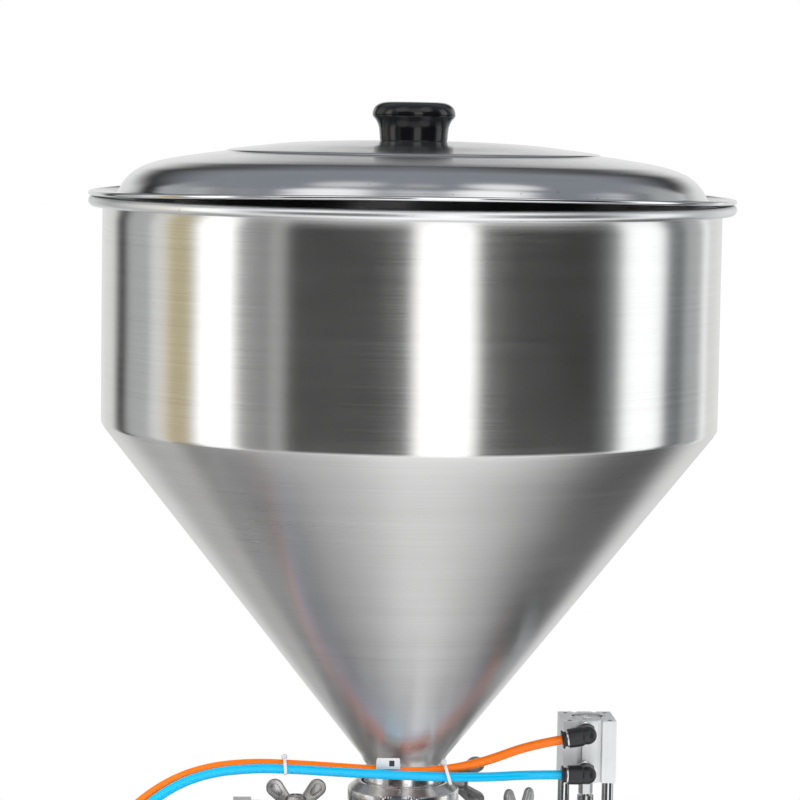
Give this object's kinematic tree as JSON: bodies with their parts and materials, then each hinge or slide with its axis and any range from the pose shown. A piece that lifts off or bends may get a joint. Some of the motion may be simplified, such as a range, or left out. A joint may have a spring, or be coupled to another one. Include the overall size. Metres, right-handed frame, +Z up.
{
  "type": "piston liquid filler",
  "caption": "Table-top pneumatic piston filler: lidded conical hopper over a rotary valve, a horizontal dosing cylinder and a shut-off nozzle.",
  "frame": {"origin": "centre of the machine's footprint box on the table", "axes": "+Z up, +X towards the nozzle and hopper end, -Y towards the operator"},
  "size_m": [0.9991, 0.4182, 0.8061],
  "materials": {
    "steel_barrel": "brushed stainless sheet",
    "steel_cone": "satin brushed stainless sheet",
    "steel_lid": "polished stainless sheet",
    "knob_black": "gloss black",
    "steel_cast": "cast and tumbled stainless",
    "steel_turned": "turned stainless",
    "steel_panel": "brushed stainless panel",
    "alloy": "clear anodised",
    "nylon_black": "moulded black",
    "tube_orange": "polyurethane tube",
    "tube_blue": "polyurethane tube",
    "nylon_white": "moulded white",
    "seal": "white silicone",
    "rubber_black": "matt black",
    "dark_plastic": "matt black",
    "button_green": "moulded green",
    "button_red": "moulded red",
    "needle_red": "painted"
  },
  "bodies": {
    "frame": {"actuator_housing": "alloy", "air_inlet": "steel_turned", "base_plate": "steel_panel", "blue_tube": "tube_blue", "cabinet_cover": "steel_panel", "cabinet_shell": "steel_panel", "cable_ties": "nylon_white", "clamp_gaskets": "seal", "clamp_hinge_pins": "steel_turned", "drive_barrel": "alloy", "drive_caps": "alloy", "feet": "rubber_black", "hopper_barrel": "steel_barrel", "hopper_cone": "steel_cone", "hopper_neck": "steel_cone", "material_barrel": "steel_turned", "material_flanges": "steel_turned", "neck_clamp_halves": "steel_cast", "nozzle_body": "steel_turned", "nozzle_cylinder": "alloy", "nozzle_elbows": "nylon_black", "nozzle_posts": "steel_turned", "nozzle_spout": "steel_turned", "orange_tube": "tube_orange", "port_clamp_halves": "steel_cast", "port_fittings": "nylon_black", "pressure_gauge": "dark_plastic", "support_brackets": "steel_panel", "swing_bolts": "steel_turned", "tee_body": "steel_turned", "tie_rods": "steel_turned", "tube_tag": "nylon_white", "valve_manifold": "alloy"},
    "lid": {"lid_shell": "steel_lid", "lid_knob": "knob_black", "lid_screw": "steel_turned"},
    "piston": {"material_piston": "nylon_white", "piston_seals": "seal", "piston_rod": "steel_turned", "drive_piston": "alloy"},
    "rotor": {"valve_rotor": "steel_turned", "actuator_pinion": "steel_turned"},
    "rack": {"actuator_rack": "steel_turned"},
    "stem": {"nozzle_stem": "steel_turned", "lift_rod": "steel_turned", "rod_lock_nut": "steel_turned", "stem_coupling": "steel_turned"},
    "stroke_wheel": {"handwheel": "dark_plastic", "stroke_screw": "steel_turned"},
    "wheel_grip": {"handwheel_grip": "knob_black"},
    "neck_nut": {"neck_wing_nut": "steel_cast"},
    "left_nut": {"left_wing_nut": "steel_cast"},
    "right_nut": {"right_wing_nut": "steel_cast"},
    "needle": {"gauge_needle": "needle_red"},
    "regulator": {"regulator_knob": "dark_plastic"},
    "fill_speed": {"fill_speed_knob": "dark_plastic"},
    "return_speed": {"return_speed_knob": "dark_plastic"},
    "selector": {"mode_selector": "dark_plastic"},
    "start": {"start_button": "button_green"},
    "estop": {"emergency_stop": "button_red"}
  },
  "joints": [
    {"name": "lid_lift", "type": "slide", "parent": "frame", "child": "lid", "axis": [0, 0, 1], "range_m": [0, 0.15]},
    {"name": "piston_stroke", "type": "slide", "parent": "frame", "child": "piston", "axis": [-1, 0, 0], "range_m": [0, 0.15]},
    {"name": "valve_turn", "type": "hinge", "parent": "frame", "child": "rotor", "pos_m": [0.29025, 0, 0.3], "axis": [0, -1, 0], "range_deg": [0, 90]},
    {"name": "rack_slide", "type": "slide", "parent": "frame", "child": "rack", "axis": [1, 0, 0], "range_m": [0, 0.019]},
    {"name": "nozzle_open", "type": "slide", "parent": "frame", "child": "stem", "axis": [0, 0, -1], "range_m": [0, 0.01]},
    {"name": "stroke_set", "type": "hinge", "parent": "frame", "child": "stroke_wheel", "pos_m": [-0.43375, 0, 0.3], "axis": [1, 0, 0], "range_deg": [0, 3600]},
    {"name": "grip_spin", "type": "hinge", "parent": "stroke_wheel", "child": "wheel_grip", "pos_m": [-0.46975, 0, 0.355], "axis": [1, 0, 0], "continuous": true},
    {"name": "neck_nut_turn", "type": "hinge", "parent": "frame", "child": "neck_nut", "pos_m": [0.33345, 0.04003, 0.352], "axis": [0.9925, -0.1219, 0], "continuous": true},
    {"name": "left_nut_turn", "type": "hinge", "parent": "frame", "child": "left_nut", "pos_m": [0.22145, 0.045, 0.338], "axis": [0, 0, 1], "continuous": true},
    {"name": "right_nut_turn", "type": "hinge", "parent": "frame", "child": "right_nut", "pos_m": [0.37255, 0.05039, 0.33049], "axis": [0, 0.1564, 0.9877], "continuous": true},
    {"name": "gauge_reading", "type": "hinge", "parent": "frame", "child": "needle", "pos_m": [-0.31975, -0.13, 0.17], "axis": [0, 1, 0], "range_deg": [0, 270]},
    {"name": "regulator_turn", "type": "hinge", "parent": "frame", "child": "regulator", "pos_m": [-0.25475, -0.13, 0.17], "axis": [0, 1, 0], "range_deg": [0, 1080]},
    {"name": "fill_speed_turn", "type": "hinge", "parent": "frame", "child": "fill_speed", "pos_m": [-0.19975, -0.13, 0.17], "axis": [0, 1, 0], "range_deg": [0, 2880]},
    {"name": "return_speed_turn", "type": "hinge", "parent": "frame", "child": "return_speed", "pos_m": [-0.15975, -0.13, 0.17], "axis": [0, 1, 0], "range_deg": [0, 2880]},
    {"name": "mode_select", "type": "hinge", "parent": "frame", "child": "selector", "pos_m": [-0.10475, -0.13, 0.17], "axis": [0, 1, 0], "range_deg": [0, 90]},
    {"name": "start_press", "type": "slide", "parent": "frame", "child": "start", "axis": [0, 1, 0], "range_m": [0, 0.003], "stiffness_N_per_m": 800},
    {"name": "estop_press", "type": "slide", "parent": "frame", "child": "estop", "axis": [0, 1, 0], "range_m": [0, 0.005], "stiffness_N_per_m": 800}
  ],
  "couplings": [
    {"joint": "rack_slide", "follows": "valve_turn", "m_per_rad": 0.012}
  ]
}
